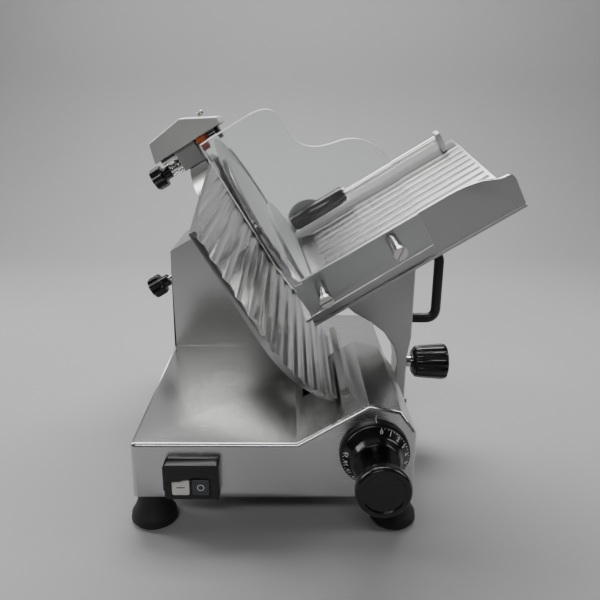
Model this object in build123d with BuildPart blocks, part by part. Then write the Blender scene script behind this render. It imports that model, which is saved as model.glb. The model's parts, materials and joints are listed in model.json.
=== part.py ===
"""Gravity-feed deli meat slicer, 250 mm blade.

Frame: +Z up, +X to the operator's right, +Y away from the operator (the way the carriage travels).
The origin is on the bench, under the middle of the machine's overall footprint.

Two working frames are used beside the main one:
- the blade frame: Y along the travel, b up the leaning blade face and s square to it, towards the tray
- the tray frame: u up the tray's slope (the same way as s), v across the tray, w up from its floor
Lengths in those frames, and in the front view (x, z), start at the base casting's front left corner.
"""

from build123d import *
from math import cos, radians, sin
import os

os.makedirs("parts", exist_ok=True)

# ---- driving dimensions (mm) ----
base_left = -176.3  # the base's left face in the main frame
base_front = -166.5  # the base's front face in the main frame
base_width = 285.0
base_depth = 405.0
foot_height = 38.0
deck_height = 98.0  # flat top of the base
crease_x = 166.0  # where the deck starts to rise towards the dial
peak_x = 236.0
shoulder_x = 268.0
raised_depth = 175.0  # how far back the raised right part reaches
wall = 4.0

lean = 31.5  # lean of the blade from vertical, degrees
s_dir = Vector(cos(radians(lean)), 0, sin(radians(lean)))
b_dir = Vector(-sin(radians(lean)), 0, cos(radians(lean)))
y_dir = Vector(0, 1, 0)

blade_radius = 125.0
blade_y = 290.0  # blade centre
blade_b = 163.0
cut_s = 248.0  # plane of the cutting edge
drum_radius = 112.0
drum_back = 203.0
drum_front = 233.0
housing_front = 268.0
housing_back = 400.0
housing_top_b = 197.0

motor_y = 345.0
motor_b = 70.0
motor_radius = 46.0
belt_back = 212.0
belt_front = 224.0
blade_pulley_radius = 30.0
motor_pulley_radius = 14.0

gauge_s = 245.0  # face of the gauge plate, set 3 mm open
gauge_thickness = 6.0
gauge_near = -88.0
gauge_bottom = 2.0
gauge_top = 236.0
gauge_pitch = 17.5

dial_x = 243.0
dial_z = 90.0
cam_radius = 14.0  # where the cam meets its follower at rest
cam_rate = 12.0 / 300.0  # growth in mm per degree of turn

rod_x = 264.0  # carriage slide rod
rod_z = 60.0
rod_radius = 8.0
bar_x = 236.0  # carriage guide bar

tray_tilt = 17.0  # the tray leans back towards the operator, degrees
tray_s = 256.0
tray_b = 83.0
tray_y = 60.0
tray_length = 248.0
tray_width = 190.0
tray_wall_top = 47.0  # height of the front wall above the floor

arm_near = 165.0
arm_depth = 40.0
pusher_v = 180.0
pusher_w = 17.0
running = 0.05  # radial clearance of a running fit


# ---- working frames ----
def front_view(y):
    """Plane facing the operator at depth y, drawn in (x, z)."""
    return Plane(origin=(base_left, base_front + y, 0), x_dir=(1, 0, 0), z_dir=(0, -1, 0))


def blade_frame(s):
    """Plane square to the blade axis at height s, drawn in (y, b)."""
    origin = Vector(base_left, base_front, 0) + s_dir * s
    return Plane(origin=origin, x_dir=(0, 1, 0), z_dir=s_dir)


def blade_side(y):
    """Plane across the blade at depth y, drawn in (s, b)."""
    return Plane(origin=(base_left, base_front + y, 0), x_dir=s_dir, z_dir=(0, -1, 0))


def level(z):
    """Horizontal plane at height z, drawn in (x, y) of the base."""
    return Plane(origin=(base_left, base_front, z), x_dir=(1, 0, 0), z_dir=(0, 0, 1))


def side_view(x):
    """Plane facing right at x, drawn in (y, z)."""
    return Plane(origin=(base_left + x, base_front, 0), x_dir=(0, 1, 0), z_dir=(1, 0, 0))


def front_point(s, b):
    """(x, z) in the front view of a point given in the blade frame."""
    return (s * s_dir.X + b * b_dir.X, s * s_dir.Z + b * b_dir.Z)


v_dir = y_dir * cos(radians(tray_tilt)) + b_dir * sin(radians(tray_tilt))
w_dir = b_dir * cos(radians(tray_tilt)) - y_dir * sin(radians(tray_tilt))
tray_corner = Vector(base_left, base_front + tray_y, 0) + s_dir * tray_s + b_dir * tray_b


def tray_floor(w):
    """Plane parallel to the tray's floor, drawn in (u, v)."""
    return Plane(origin=tray_corner + w_dir * w, x_dir=s_dir, z_dir=w_dir)


def tray_front(v):
    """Plane parallel to the tray's front wall, drawn in (u, w)."""
    return Plane(origin=tray_corner + v_dir * v, x_dir=s_dir, z_dir=v_dir * -1)


def tray_section(u):
    """Plane square to the tray's slope, drawn in (v, w)."""
    return Plane(origin=tray_corner + s_dir * u, x_dir=v_dir, z_dir=s_dir)


# ---- base casting ----
slope_rise = (peak_x - crease_x) * s_dir.Z / s_dir.X
peak_z = deck_height + slope_rise
corner_fillet = 6.0  # upright edges of the base's front
top_fillet = 4.0  # top edge of the base's front
slope_b = crease_x * b_dir.X + deck_height * b_dir.Z  # the raised slope lies square to the blade
base_outline = [
    (0, foot_height),
    (0, deck_height),
    (crease_x, deck_height),
    (peak_x, peak_z),
    (shoulder_x, peak_z - 7),
    (base_width, peak_z - 32),
    (base_width, foot_height),
]
base_hollow = [
    (wall, foot_height),
    (wall, deck_height - wall),
    (crease_x + 1, deck_height - wall),
    (peak_x, peak_z - wall - 1),
    (shoulder_x - 2, peak_z - 7 - wall),
    (base_width - wall, peak_z - 32 - wall),
    (base_width - wall, foot_height),
]
top_left_s = (housing_top_b * -b_dir.X) / s_dir.X
housing_outline = [
    (0, deck_height - 10),
    front_point(top_left_s, housing_top_b),
    front_point(drum_front, housing_top_b),
    front_point(drum_front, 0),
    (front_point(drum_front, 0)[0], deck_height - 10),
]
housing_hollow = [
    (wall, deck_height - 30),
    (wall, front_point(top_left_s, housing_top_b)[1] - wall),
    front_point(drum_back, housing_top_b - wall),
    front_point(drum_back, 20),
    (front_point(drum_back, 20)[0], deck_height - 30),
]
foot_places = [(17, 19), (base_width - 17, 19), (17, base_depth - 19), (base_width - 17, base_depth - 19)]
pad_size = 30.0
pad_height = 8.0

with BuildPart() as base_body:
    with BuildSketch(front_view(0)):
        with BuildLine():
            Polyline(*base_outline, close=True)
        make_face()
    extrude(amount=-raised_depth)
    with BuildSketch(front_view(0)):
        with Locations((base_width / 2, (foot_height + deck_height) / 2)):
            Rectangle(base_width, deck_height - foot_height)
    extrude(amount=-base_depth)
    fillet(base_body.edges().filter_by(Axis.Z).group_by(Axis.Y)[0], corner_fillet)
    front_edges = base_body.edges().filter_by(
        lambda edge: edge.bounding_box().max.Y < base_front + corner_fillet + 0.1
    )
    fillet(front_edges.filter_by(lambda edge: edge.bounding_box().min.Z > deck_height - 1), top_fillet)
    # low rail on the slope, beside the foot of the gauge plate
    with BuildSketch(blade_side(46)):
        with Locations((254.5, 0)):
            Rectangle(9, 10)
    extrude(amount=-192)
    with BuildSketch(front_view(housing_front)):
        with BuildLine():
            Polyline(*housing_outline, close=True)
        make_face()
    extrude(amount=-(housing_back - housing_front))
    with BuildSketch(blade_frame(drum_back)):
        with Locations((blade_y, blade_b)):
            Circle(drum_radius)
    extrude(amount=drum_front - drum_back)
    # hollow of the base, the motor room and the belt chamber
    with BuildSketch(front_view(wall)):
        with BuildLine():
            Polyline(*base_hollow, close=True)
        make_face()
    extrude(amount=-(raised_depth - 2 * wall), mode=Mode.SUBTRACT)
    with BuildSketch(front_view(wall)):
        with Locations((base_width / 2, (foot_height + deck_height - wall) / 2)):
            Rectangle(base_width - 2 * wall, deck_height - wall - foot_height)
    extrude(amount=-(base_depth - 2 * wall), mode=Mode.SUBTRACT)
    with BuildSketch(front_view(housing_front + wall)):
        with BuildLine():
            Polyline(*housing_hollow, close=True)
        make_face()
    extrude(amount=-(housing_back - housing_front - 2 * wall), mode=Mode.SUBTRACT)
    with BuildSketch(blade_frame(drum_back + 5)):
        with Locations((blade_y, blade_b)):
            Circle(drum_radius - 5)
        with Locations((motor_y, motor_b)):
            Circle(motor_pulley_radius + 24)
    extrude(amount=drum_front - drum_back - 9, mode=Mode.SUBTRACT)
    # opening in the front plate for the blade hub, and the fixed stub that its bearings sit on
    with BuildSketch(blade_frame(drum_front - 5)):
        with Locations((blade_y, blade_b)):
            Circle(36)
    extrude(amount=6, mode=Mode.SUBTRACT)
    with BuildSketch(blade_frame(drum_back)):
        with Locations((blade_y, blade_b)):
            Circle(10)
    extrude(amount=34)
    with BuildSketch(blade_frame(drum_back - 1)):
        with Locations((blade_y, blade_b)):
            Circle(5)
    extrude(amount=40, mode=Mode.SUBTRACT)
    with BuildSketch(blade_frame(drum_back - 1)):
        with Locations((motor_y, motor_b)):
            Circle(8)
    extrude(amount=7, mode=Mode.SUBTRACT)
    # hole in the left wall for the cover rod
    with BuildSketch(blade_frame(80)):
        with Locations((blade_y, blade_b)):
            Circle(6)
    extrude(amount=50, mode=Mode.SUBTRACT)
    # slot for the carriage neck in the right wall
    with BuildSketch(side_view(base_width - wall - 1)):
        with Locations((171, rod_z)):
            SlotOverall(322, 14)
    extrude(amount=wall + 2, mode=Mode.SUBTRACT)
    # slot for the gauge post in the raised slope, and the lugs that hold the gauge rod
    with BuildSketch(blade_side(98)):
        with Locations((218, slope_b - 2)):
            Rectangle(34, 12)
    extrude(amount=-26, mode=Mode.SUBTRACT)
    with BuildSketch(blade_side(105)):
        with Locations((189, slope_b - 29), (247, slope_b - 29)):
            Rectangle(6, 54)
    extrude(amount=-12)
    # openings for the switch, the dial shaft and the mains inlet
    with BuildSketch(front_view(-1)):
        with Locations((60.5, 55)):
            Rectangle(42, 24)
    extrude(amount=-(wall + 2), mode=Mode.SUBTRACT)
    with BuildSketch(front_view(-1)):
        with Locations((dial_x, dial_z)):
            Circle(7)
    extrude(amount=-(wall + 2), mode=Mode.SUBTRACT)
    with BuildSketch(front_view(base_depth - wall - 1)):
        with Locations((60, 66)):
            Rectangle(27, 20)
    extrude(amount=-(wall + 2), mode=Mode.SUBTRACT)
    # corner pads for the feet
    with BuildSketch(level(foot_height)):
        with Locations(*foot_places):
            Rectangle(pad_size, pad_size)
    extrude(amount=pad_height)
    with BuildSketch(level(foot_height)):
        with Locations(*foot_places):
            Circle(3.1)
    extrude(amount=pad_height, mode=Mode.SUBTRACT)
base_body.part.label = "base_body"
export_step(base_body.part, "parts/base_body.step")

# ---- base fittings ----
with BuildPart() as bottom_cover:
    with BuildSketch(level(foot_height + 0.5)):
        with Locations((base_width / 2, base_depth / 2)):
            Rectangle(base_width - 2 * wall - 0.4, base_depth - 2 * wall - 0.4)
        with Locations(*foot_places):
            Rectangle(pad_size + 0.6, pad_size + 0.6, mode=Mode.SUBTRACT)
        with Locations((base_width / 2, base_depth / 2)):
            with GridLocations(14, 0, 9, 1):
                SlotOverall(60, 5, rotation=90, mode=Mode.SUBTRACT)
    extrude(amount=1.5)
bottom_cover.part.label = "bottom_cover"
export_step(bottom_cover.part, "parts/bottom_cover.step")

with BuildPart() as feet:
    for foot_x, foot_y in foot_places:
        with BuildSketch(front_view(foot_y)):
            with BuildLine():
                Polyline((foot_x + 15, foot_height), (foot_x, foot_height), (foot_x, 0), (foot_x + 21, 0))
                Polyline((foot_x + 21, 0), (foot_x + 24, 4), (foot_x + 23, 11))
                Spline((foot_x + 23, 11), (foot_x + 17.5, 22), (foot_x + 15, foot_height))
            make_face()
        revolve(axis=Axis((base_left + foot_x, base_front + foot_y, 0), (0, 0, 1)))
    with BuildSketch(level(0)):
        with Locations(*foot_places):
            Circle(7)
    extrude(amount=8, mode=Mode.SUBTRACT)
    with BuildSketch(level(0)):
        with Locations(*foot_places):
            Circle(3.1)
    extrude(amount=foot_height, mode=Mode.SUBTRACT)
feet.part.label = "feet"
export_step(feet.part, "parts/feet.step")

with BuildPart() as foot_screws:
    with BuildSketch(level(4)):
        with Locations(*foot_places):
            Circle(5.5)
    extrude(amount=4)
    with BuildSketch(level(8)):
        with Locations(*foot_places):
            Circle(3)
    extrude(amount=foot_height + pad_height - 8)
foot_screws.part.label = "foot_screws"
export_step(foot_screws.part, "parts/foot_screws.step")

with BuildPart() as mains_inlet:
    with BuildSketch(front_view(base_depth - 18)):
        with Locations((60, 66)):
            Rectangle(27, 20)
    extrude(amount=-18)
    with BuildSketch(front_view(base_depth)):
        with Locations((60, 66)):
            RectangleRounded(36, 28, 4)
    extrude(amount=-3)
    with BuildSketch(front_view(base_depth - 12)):
        with Locations((60, 66)):
            RectangleRounded(21, 14, 3)
    extrude(amount=-16, mode=Mode.SUBTRACT)
    with BuildSketch(front_view(base_depth - 12)):
        with Locations((53, 66), (60, 68.5), (67, 66)):
            Rectangle(2, 4)
    extrude(amount=-10)
mains_inlet.part.label = "mains_inlet"
export_step(mains_inlet.part, "parts/mains_inlet.step")

# ---- switch ----
switch_x = 61.5
switch_z = 61.0
button_size = 17.6
button_places = [(50.5, 54.5), (70.5, 54.5)]
with BuildPart() as switch_frame:
    with BuildSketch(front_view(0)):
        with Locations((switch_x, switch_z)):
            RectangleRounded(55, 42, 4)
    extrude(amount=7)
    with BuildSketch(front_view(0)):
        with Locations((switch_x, switch_z + 14)):
            RectangleRounded(55, 14, 3)
    extrude(amount=13)
    with BuildSketch(front_view(14)):
        with Locations((60.5, 55)):
            Rectangle(41.6, 23.6)
    extrude(amount=14)
    with BuildSketch(front_view(9)):
        with Locations(*button_places):
            Rectangle(button_size + 0.8, button_size + 0.8)
    extrude(amount=20, mode=Mode.SUBTRACT)
switch_frame.part.label = "switch_frame"
export_step(switch_frame.part, "parts/switch_frame.step")

for button_name, button_place in zip(["on_button", "off_button"], button_places):
    with BuildPart() as button:
        with BuildSketch(front_view(2)):
            with Locations(button_place):
                RectangleRounded(button_size, button_size, 2)
        extrude(amount=11)
    button.part.label = button_name
    export_step(button.part, f"parts/{button_name}.step")

# ---- thickness dial ----
dial_axis = Axis((base_left + dial_x, base_front, dial_z), (0, -1, 0))


dial_outlines = {
    "dial_flange": [(6.4, 0), (35, 0), (35, 5), (33.5, 6), (6.4, 6)],
    "scale_dial": [(6, 6.4), (33, 6.4), (33, 9), (27, 15), (24, 24), (14, 34), (6, 34)],
    "dial_shaft": [(0, -42), (5.95, -42), (5.95, 34), (0, 34)],
}
for dial_name, outline in dial_outlines.items():
    with BuildPart() as dial_piece:
        with BuildSketch(level(dial_z)):
            with BuildLine():
                Polyline(*[(dial_x + radius, -out) for radius, out in outline], close=True)
            make_face()
        revolve(axis=dial_axis)
    dial_piece.part.label = dial_name
    export_step(dial_piece.part, f"parts/{dial_name}.step")

knob_outline = [
    (0, 34),
    (13, 34),
    (16, 44),
    (22, 56),
    (26, 63),
    (26, 70),
    (24.5, 73),
    (19.5, 73),
    (19, 71.5),
    (0, 71.5),
]
with BuildPart() as dial_knob:
    with BuildSketch(level(dial_z)):
        with BuildLine():
            Polyline(*[(dial_x + radius, -out) for radius, out in knob_outline], close=True)
        make_face()
    revolve(axis=dial_axis)
    with BuildSketch(front_view(-33)):
        with Locations((dial_x, dial_z)):
            with PolarLocations(26, 3, 30):
                Circle(9)
    extrude(amount=26, mode=Mode.SUBTRACT)
dial_knob.part.label = "dial_knob"
export_step(dial_knob.part, "parts/dial_knob.step")

# the cam is a spiral: its radius grows evenly with the angle, so the plate moves evenly with the dial
dial_s = dial_x * s_dir.X + dial_z * s_dir.Z
dial_b = dial_x * b_dir.X + dial_z * b_dir.Z
cam_points = []
for turn in range(-85, 236, 10):
    reach = cam_radius + cam_rate * turn
    cam_points.append((dial_s - reach * cos(radians(turn)), dial_b + reach * sin(radians(turn))))
with BuildPart() as gauge_cam:
    with BuildSketch(blade_side(30)):
        with BuildLine():
            cam_curve = Spline(*cam_points)
            Line(cam_curve @ 1, cam_curve @ 0)
        make_face()
        with Locations((dial_s, dial_b)):
            Circle(5.95, mode=Mode.SUBTRACT)
    extrude(amount=-10)
gauge_cam.part.label = "gauge_cam"
export_step(gauge_cam.part, "parts/gauge_cam.step")

# ---- gauge plate and its slide ----
gauge_back = gauge_s - gauge_thickness
support_back = 228.0
gauge_corner = 140.0  # the near edge is straight above this height, and curves away below it
gauge_tip = 38.0
with BuildPart() as gauge_plate:
    with BuildSketch(blade_frame(gauge_back)):
        with BuildLine():
            Line((gauge_near, gauge_top), (gauge_near, gauge_corner))
            Spline(
                (gauge_near, gauge_corner),
                (-67, 88),
                (gauge_tip, gauge_bottom),
                tangents=((0, -1), (0.83, -0.56)),
            )
            Line((gauge_tip, gauge_bottom), (225, gauge_bottom))
            Line((225, gauge_bottom), (225, 120))
            Line((225, 120), (190, 268))
            Line((190, 268), (gauge_near, gauge_top))
        make_face()
        with Locations((blade_y, blade_b)):
            Circle(blade_radius + 9, mode=Mode.SUBTRACT)
    extrude(amount=gauge_thickness)
    # flutes along the travel
    with BuildSketch(blade_side(gauge_near - 1)):
        with Locations((gauge_s + 5.2, (gauge_bottom + 262) / 2)):
            with GridLocations(0, gauge_pitch, 1, 14):
                Circle(7)
    extrude(amount=-360, mode=Mode.SUBTRACT)
gauge_plate.part.label = "gauge_plate"
export_step(gauge_plate.part, "parts/gauge_plate.step")

rod_b = slope_b - 47  # gauge rod, along s, inside the base
with BuildPart() as gauge_support:
    with BuildSketch(blade_frame(support_back)):
        with Locations((110, 62)):
            RectangleRounded(86, 96, 10)
    extrude(amount=gauge_back - support_back)
    with BuildSketch(blade_side(102)):
        with Locations((221, (40 + rod_b) / 2)):
            Rectangle(14, 40 - rod_b)
    extrude(amount=-16)
    with BuildSketch(blade_frame(208)):
        with Locations((110, rod_b)):
            Circle(11)
    extrude(amount=24)
    with BuildSketch(blade_side(46)):
        with Locations((231, rod_b)):
            Rectangle(14, 9)
    extrude(amount=-60)
    with BuildSketch(blade_frame(205)):
        with Locations((110, rod_b)):
            Circle(9)
    extrude(amount=40, mode=Mode.SUBTRACT)
gauge_support.part.label = "gauge_support"
export_step(gauge_support.part, "parts/gauge_support.step")

with BuildPart() as gauge_screws:
    with BuildSketch(blade_frame(support_back - 4)):
        with Locations((80, 100), (140, 100)):
            Circle(4.5)
    extrude(amount=4)
gauge_screws.part.label = "gauge_screws"
export_step(gauge_screws.part, "parts/gauge_screws.step")

with BuildPart() as gauge_bush:
    with BuildSketch(blade_frame(208)):
        with Locations((110, rod_b)):
            Circle(9)
            Circle(6 + running, mode=Mode.SUBTRACT)
    extrude(amount=24)
gauge_bush.part.label = "gauge_bush"
export_step(gauge_bush.part, "parts/gauge_bush.step")

with BuildPart() as gauge_rod:
    with BuildSketch(blade_frame(192)):
        with Locations((110, rod_b)):
            Circle(6)
    extrude(amount=52)
gauge_rod.part.label = "gauge_rod"
export_step(gauge_rod.part, "parts/gauge_rod.step")

follower_radius = 3.0
with BuildPart() as cam_follower:
    with BuildSketch(blade_side(30)):
        with Locations((dial_s - cam_radius - follower_radius - 0.3, dial_b)):
            Circle(follower_radius)
    extrude(amount=-16)
cam_follower.part.label = "cam_follower"
export_step(cam_follower.part, "parts/cam_follower.step")

# ---- blade drive: each outline below is (radius, s), turned about the blade's axis ----
blade_axis = Axis(blade_frame(0).from_local_coords((blade_y, blade_b, 0)), s_dir)
blade_section = Plane(
    origin=(base_left, base_front + blade_y, 0), x_dir=b_dir, z_dir=(0, 1, 0)
)
turned_outlines = {
    "blade": [(22, 240), (66, 240), (112, 243.4), (blade_radius, cut_s), (112, 246), (66, 242.6), (22, 242.6)],
    "blade_hub": [
        (21.05, 209.6),
        (33, 209.6),
        (33, belt_back - 0.4),
        (blade_pulley_radius, belt_back - 0.4),
        (blade_pulley_radius, 237),
        (42, 237),
        (42, 240),
        (21.05, 240),
    ],
    "blade_cover": [
        (4.05, 242),
        (12, 242),
        (12, 247.4),
        (96, 247.4),
        (98, 248.4),
        (92, 250.6),
        (20, 252),
        (0, 252),
        (0, 249),
        (4.05, 249),
    ],
    "cover_rod": [(0, 84), (4, 84), (4, 248.6), (0, 248.6)],
}
for turned_name, outline in turned_outlines.items():
    with BuildPart() as turned_piece:
        with BuildSketch(blade_section):
            with BuildLine():
                Polyline(*[(blade_b + radius, s) for radius, s in outline], close=True)
            make_face()
        revolve(axis=blade_axis)
    turned_piece.part.label = turned_name
    export_step(turned_piece.part, f"parts/{turned_name}.step")

with BuildPart() as blade_bearings:
    for bearing_s in (210, 225):
        with BuildSketch(blade_frame(bearing_s)):
            with Locations((blade_y, blade_b)):
                Circle(21)
                Circle(10, mode=Mode.SUBTRACT)
        extrude(amount=11)
blade_bearings.part.label = "blade_bearings"
export_step(blade_bearings.part, "parts/blade_bearings.step")

with BuildPart() as blade_screws:
    with BuildSketch(blade_frame(242.6)):
        with Locations((blade_y, blade_b)):
            with PolarLocations(34, 3):
                Circle(4.5)
    extrude(amount=2.4)
blade_screws.part.label = "blade_screws"
export_step(blade_screws.part, "parts/blade_screws.step")

# C-shaped guard round the far side of the blade, open towards the food and under the sharpener
guard_inner = blade_radius + 1.6
guard_outer = blade_radius + 6
guard_start = -105
guard_sweep = 160


with BuildPart() as ring_guard:
    for inner, near_s, far_s in [(92, drum_front, drum_front + 3), (guard_inner, drum_front, cut_s + 1.5)]:
        with BuildSketch(blade_frame(near_s)):
            with BuildLine():
                outer_arc = CenterArc((blade_y, blade_b), guard_outer, guard_start, guard_sweep)
                inner_arc = CenterArc((blade_y, blade_b), inner, guard_start, guard_sweep)
                Line(outer_arc @ 0, inner_arc @ 0)
                Line(outer_arc @ 1, inner_arc @ 1)
            make_face()
        extrude(amount=far_s - near_s)
ring_guard.part.label = "ring_guard"
export_step(ring_guard.part, "parts/ring_guard.step")

# plate behind the open side of the blade that turns the slices down onto the deck
deflector_start = 118
deflector_sweep = 132
with BuildPart() as slice_deflector:
    with BuildSketch(blade_frame(drum_front)):
        with BuildLine():
            outer_arc = CenterArc((blade_y, blade_b), 121, deflector_start, deflector_sweep)
            inner_arc = CenterArc((blade_y, blade_b), 92, deflector_start, deflector_sweep)
            Line(outer_arc @ 0, inner_arc @ 0)
            Line(outer_arc @ 1, inner_arc @ 1)
        make_face()
    extrude(amount=1.5)
slice_deflector.part.label = "slice_deflector"
export_step(slice_deflector.part, "parts/slice_deflector.step")

with BuildPart() as cover_knob:
    with BuildSketch(blade_frame(64)):
        with Locations((blade_y, blade_b)):
            Circle(14.5)
            with PolarLocations(16.5, 8):
                Circle(4, mode=Mode.SUBTRACT)
    extrude(amount=18)
    with BuildSketch(blade_frame(82)):
        with Locations((blade_y, blade_b)):
            Circle(8)
    extrude(amount=10)
    with BuildSketch(blade_frame(84)):
        with Locations((blade_y, blade_b)):
            Circle(4)
    extrude(amount=10, mode=Mode.SUBTRACT)
cover_knob.part.label = "cover_knob"
export_step(cover_knob.part, "parts/cover_knob.step")

with BuildPart() as motor:
    with BuildSketch(blade_frame(96)):
        with Locations((motor_y, motor_b)):
            Circle(motor_radius)
    extrude(amount=101)
    with BuildSketch(blade_frame(197)):
        with Locations((motor_y, motor_b)):
            Circle(18)
    extrude(amount=6)
    with BuildSketch(blade_frame(112)):
        with Locations((motor_y, motor_b)):
            with PolarLocations(motor_radius, 20):
                Rectangle(4, 4)
    extrude(amount=72, mode=Mode.SUBTRACT)
    with BuildSketch(blade_frame(150)):
        with Locations((motor_y, motor_b)):
            Circle(6 + running)
    extrude(amount=60, mode=Mode.SUBTRACT)
motor.part.label = "motor"
export_step(motor.part, "parts/motor.step")

with BuildPart() as motor_shaft:
    with BuildSketch(blade_frame(151)):
        with Locations((motor_y, motor_b)):
            Circle(6)
    extrude(amount=75)
motor_shaft.part.label = "motor_shaft"
export_step(motor_shaft.part, "parts/motor_shaft.step")

with BuildPart() as motor_pulley:
    with BuildSketch(blade_frame(belt_back - 1)):
        with Locations((motor_y, motor_b)):
            Circle(motor_pulley_radius)
            Circle(6, mode=Mode.SUBTRACT)
    extrude(amount=belt_front - belt_back + 2)
motor_pulley.part.label = "motor_pulley"
export_step(motor_pulley.part, "parts/motor_pulley.step")

belt_gap = 0.3
belt_thickness = 2.4
with BuildPart() as drive_belt:
    for reach, belt_mode in [(belt_gap + belt_thickness, Mode.ADD), (belt_gap, Mode.SUBTRACT)]:
        with BuildSketch(blade_frame(belt_back)):
            with Locations((blade_y, blade_b)):
                Circle(blade_pulley_radius + reach)
            with Locations((motor_y, motor_b)):
                Circle(motor_pulley_radius + reach)
            make_hull()
        extrude(amount=belt_front - belt_back, mode=belt_mode)
drive_belt.part.label = "drive_belt"
export_step(drive_belt.part, "parts/drive_belt.step")

# ---- sharpener, over the top of the blade ----
spindle_b = 297.0
grind_y = 278.0
hone_y = 302.0
roof_rise = 6.0 / 49.0  # slope of the hood's roof along s


def roof_b(s):
    return 325 + (s - 177) * roof_rise


with BuildPart() as sharpener_body:
    with BuildSketch(blade_side(267)):
        with BuildLine():
            Polyline((196, 266), (196, 306), (226, 306), (226, 266), close=True)
        make_face()
    extrude(amount=-46)
    with BuildSketch(blade_side(286)):
        with BuildLine():
            Polyline((206, 306), (206, roof_b(206) - 2), (216, roof_b(216) - 2), (216, 306), close=True)
        make_face()
    extrude(amount=-8)
    with BuildSketch(blade_frame(180)):
        with Locations((blade_y, blade_b)):
            Circle(drum_radius)
    extrude(amount=60, mode=Mode.SUBTRACT)
    with BuildSketch(blade_frame(190)):
        with Locations((grind_y, spindle_b), (hone_y, spindle_b)):
            Circle(4 + running)
    extrude(amount=60, mode=Mode.SUBTRACT)
    with BuildSketch(blade_frame(190)):
        with Locations((blade_y, 283)):
            Circle(4 + running)
    extrude(amount=18, mode=Mode.SUBTRACT)
sharpener_body.part.label = "sharpener_body"
export_step(sharpener_body.part, "parts/sharpener_body.step")

hood_outline = [(169, 300), (177, 325), (226, 331), (267, 309), (267, 300)]
hood_hollow = [(171, 299), (179, roof_b(179) - 2), (225, roof_b(225) - 2), (265, 307.5), (265, 299)]
with BuildPart() as sharpener_hood:
    with BuildSketch(blade_side(260)):
        with BuildLine():
            Polyline(*hood_outline, close=True)
        make_face()
    extrude(amount=-60)
    with BuildSketch(blade_side(262)):
        with BuildLine():
            Polyline(*hood_hollow, close=True)
        make_face()
    extrude(amount=-56, mode=Mode.SUBTRACT)
sharpener_hood.part.label = "sharpener_hood"
export_step(sharpener_hood.part, "parts/sharpener_hood.step")

# each spindle is a button at the back, a shaft through the body and a stone beside the blade's edge
spindles = [
    ("grind", grind_y, 181, 229.4, 9, 15),
    ("hone", hone_y, 184, 252.4, 5, 12),
]
for spindle_name, spindle_y, shaft_start, stone_s, stone_width, stone_radius in spindles:
    with BuildPart() as spindle:
        with BuildSketch(blade_frame(shaft_start - 6)):
            with Locations((spindle_y, spindle_b)):
                Circle(6.5)
        extrude(amount=6)
        with BuildSketch(blade_frame(shaft_start)):
            with Locations((spindle_y, spindle_b)):
                Circle(4)
        extrude(amount=stone_s + stone_width - shaft_start)
        with BuildSketch(blade_frame(stone_s)):
            with Locations((spindle_y, spindle_b)):
                Circle(4)
                Circle(3, mode=Mode.SUBTRACT)
        extrude(amount=stone_width, mode=Mode.SUBTRACT)
    spindle.part.label = f"{spindle_name}_spindle"
    export_step(spindle.part, f"parts/{spindle_name}_spindle.step")
    with BuildPart() as stone:
        with BuildSketch(blade_frame(stone_s + 0.1)):
            with Locations((spindle_y, spindle_b)):
                Circle(stone_radius)
                Circle(3 + running, mode=Mode.SUBTRACT)
        extrude(amount=stone_width - 0.2)
    stone.part.label = f"{spindle_name}_stone"
    export_step(stone.part, f"parts/{spindle_name}_stone.step")

with BuildPart() as sharpener_knob:
    with BuildSketch(blade_frame(150)):
        with Locations((blade_y, 283)):
            Circle(15)
            with PolarLocations(17, 7):
                Circle(4.5, mode=Mode.SUBTRACT)
    extrude(amount=16)
    with BuildSketch(blade_frame(166)):
        with Locations((blade_y, 283)):
            Circle(8)
    extrude(amount=10)
    with BuildSketch(blade_frame(176)):
        with Locations((blade_y, 283)):
            Circle(4)
    extrude(amount=31)
sharpener_knob.part.label = "sharpener_knob"
export_step(sharpener_knob.part, "parts/sharpener_knob.step")

hood_slope_middle = blade_frame(246).from_local_coords((blade_y, 320.3, 0))
hood_slope_normal = s_dir * 0.473 + b_dir * 0.881
with BuildPart() as hood_screw:
    with BuildSketch(Plane(origin=hood_slope_middle, z_dir=hood_slope_normal)):
        Circle(5)
    extrude(amount=7)
hood_screw.part.label = "hood_screw"
export_step(hood_screw.part, "parts/hood_screw.step")

# ---- carriage ----
with BuildPart() as slide_rod:
    with BuildSketch(front_view(wall)):
        with Locations((rod_x, rod_z)):
            Circle(rod_radius)
    extrude(amount=-(base_depth - 2 * wall))
slide_rod.part.label = "slide_rod"
export_step(slide_rod.part, "parts/slide_rod.step")

with BuildPart() as guide_bar:
    with BuildSketch(front_view(wall)):
        with Locations((bar_x, 48)):
            Rectangle(10, 10)
    extrude(amount=-(base_depth - 2 * wall))
guide_bar.part.label = "guide_bar"
export_step(guide_bar.part, "parts/guide_bar.step")

block_near = 160.0
block_length = 50.0
with BuildPart() as slide_block:
    with BuildSketch(front_view(block_near)):
        with Locations((rod_x, rod_z)):
            Circle(12.5)
        with BuildLine():
            Polyline((bar_x - 6, 56), (bar_x - 6, 62), (rod_x - 8, 62), (rod_x - 8, 56), close=True)
        make_face()
    extrude(amount=-block_length)
    with BuildSketch(front_view(arm_near)):
        with BuildLine():
            Polyline((rod_x, 55), (rod_x, 65), (base_width + 4, 65), (base_width + 4, 55), close=True)
        make_face()
    extrude(amount=-arm_depth)
    with BuildSketch(front_view(block_near)):
        with Locations((rod_x, rod_z)):
            Circle(10.5)
    extrude(amount=-block_length, mode=Mode.SUBTRACT)
slide_block.part.label = "slide_block"
export_step(slide_block.part, "parts/slide_block.step")

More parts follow.
